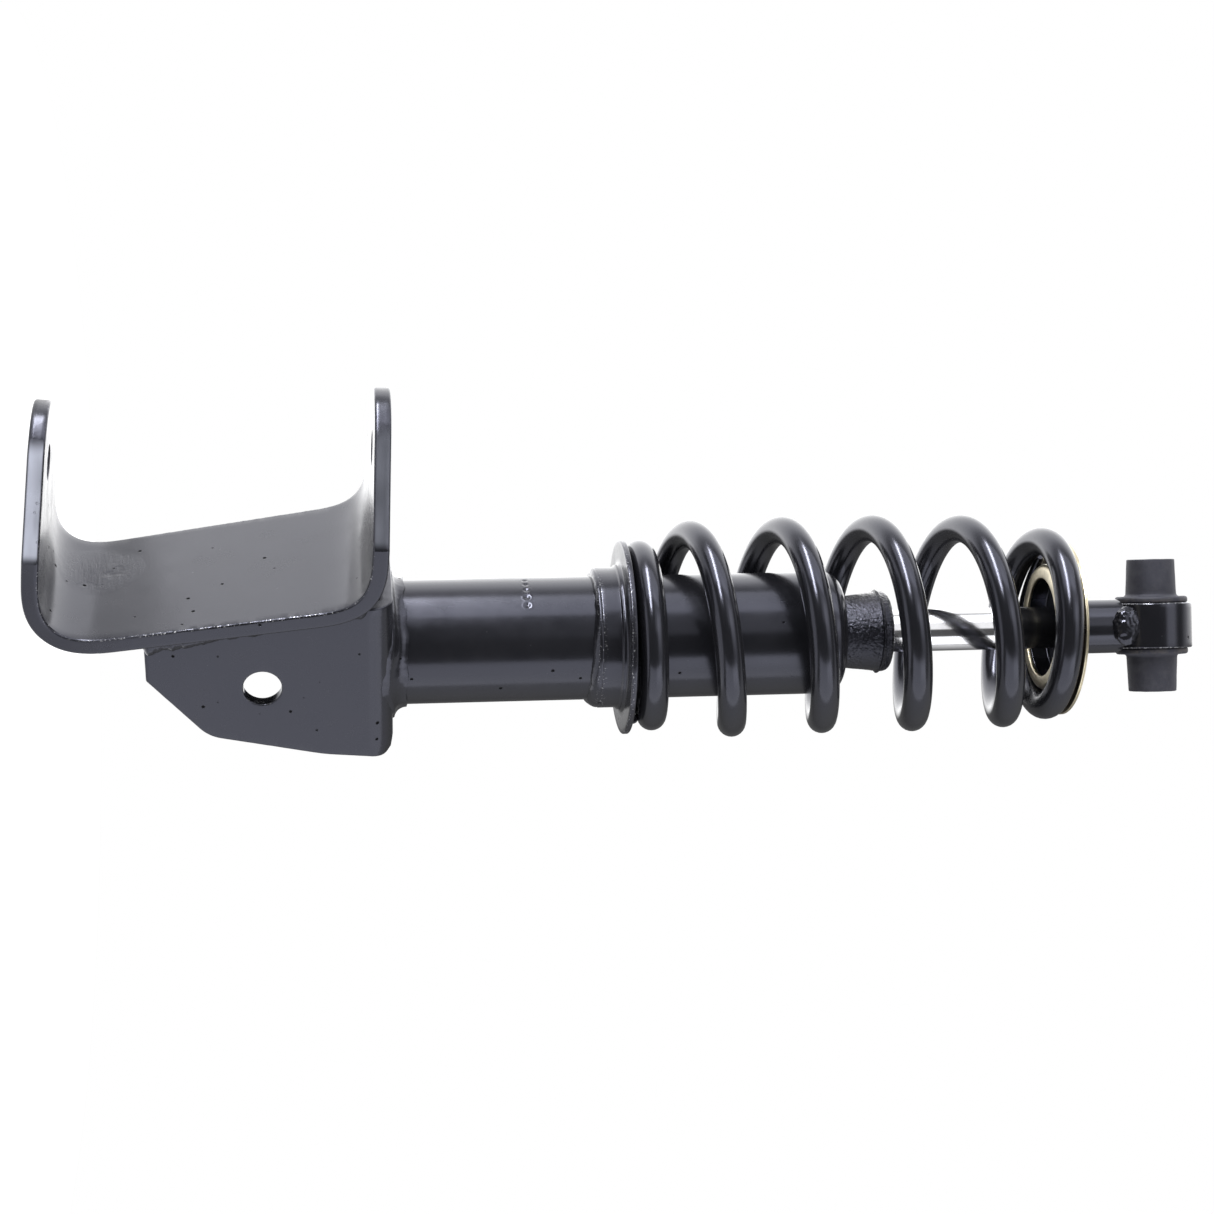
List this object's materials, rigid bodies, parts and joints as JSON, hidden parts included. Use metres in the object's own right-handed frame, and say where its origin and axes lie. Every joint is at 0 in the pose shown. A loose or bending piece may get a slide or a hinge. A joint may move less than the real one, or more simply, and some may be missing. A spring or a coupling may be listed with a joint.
{
  "type": "coil-over front strut",
  "caption": "Coil-over front strut with a C-shaped kingpin bracket, a folded arm bracket, a twin-tube damper, a coil spring and a rubber-bushed eye.",
  "frame": {"origin": "centre of the lower arm bore, on the strut axis", "axes": "+Z runs along the strut axis to the upper eye, Y is the lower arm bore's axis, and the kingpin ears point to -X"},
  "size_m": [0.1454, 0.0852, 0.4492],
  "materials": {
    "bracket_paint": "gloss black paint on pressed plate",
    "tube_paint": "gloss black paint",
    "spring_paint": "gloss black powder coat",
    "stem_paint": "gloss black paint",
    "zinc_plate": "yellow-tinted zinc plating",
    "hard_chrome": "ground and polished hard chrome",
    "bump_rubber": "moulded rubber with a fine leathery grain",
    "bush_rubber": "matte moulded rubber",
    "seal_rubber": "nitrile rubber",
    "bright_steel": "machined steel",
    "valve_steel": "spring steel",
    "sintered_iron": "sintered iron",
    "bush_bronze": "bronze-backed lined bush",
    "band_plastic": "filled PTFE"
  },
  "bodies": {
    "housing": {"kingpin_bracket": "bracket_paint", "arm_bracket": "bracket_paint", "arm_end_wall": "bracket_paint", "bracket_weld_seams": "bracket_paint", "tube_weld": "bracket_paint", "damper_tube": "tube_paint", "base_cap": "tube_paint", "pressure_tube": "bright_steel", "foot_valve": "valve_steel", "foot_valve_shims": "valve_steel", "rod_guide": "sintered_iron", "guide_bush": "bush_bronze", "guide_o_ring": "seal_rubber", "rod_seal": "seal_rubber", "lower_spring_seat": "tube_paint", "seat_weld": "tube_paint", "bump_stop": "bump_rubber", "coil_spring": "spring_paint"},
    "upper_seat": {"upper_spring_seat": "zinc_plate", "upper_seat_washer": "zinc_plate"},
    "rod": {"piston_rod": "hard_chrome", "rebound_stop": "bright_steel", "piston": "sintered_iron", "piston_band": "band_plastic", "valve_shims": "valve_steel", "piston_nut": "bright_steel", "seat_retainer": "stem_paint", "rod_stem": "stem_paint", "eye_ring": "stem_paint", "eye_weld": "stem_paint", "eye_bush_front": "bush_rubber", "eye_bush_rear": "bush_rubber"},
    "sleeve": {"bush_sleeve": "bright_steel"}
  },
  "joints": [
    {"name": "rod_slide", "type": "slide", "parent": "housing", "child": "upper_seat", "axis": [0, 0, 1], "range_m": [-0.055, 0], "stiffness_N_per_m": 74000, "springref_m": 0.004, "deforming": ["coil_spring"]},
    {"name": "rod_turn", "type": "hinge", "parent": "upper_seat", "child": "rod", "pos_m": [0, 0, 0.3502], "axis": [0, 0, 1], "continuous": true},
    {"name": "bush_twist", "type": "hinge", "parent": "rod", "child": "sleeve", "pos_m": [0, 0, 0.3502], "axis": [0.8572, -0.515, 0], "range_deg": [-12, 12], "stiffness_Nm_per_rad": 30}
  ]
}
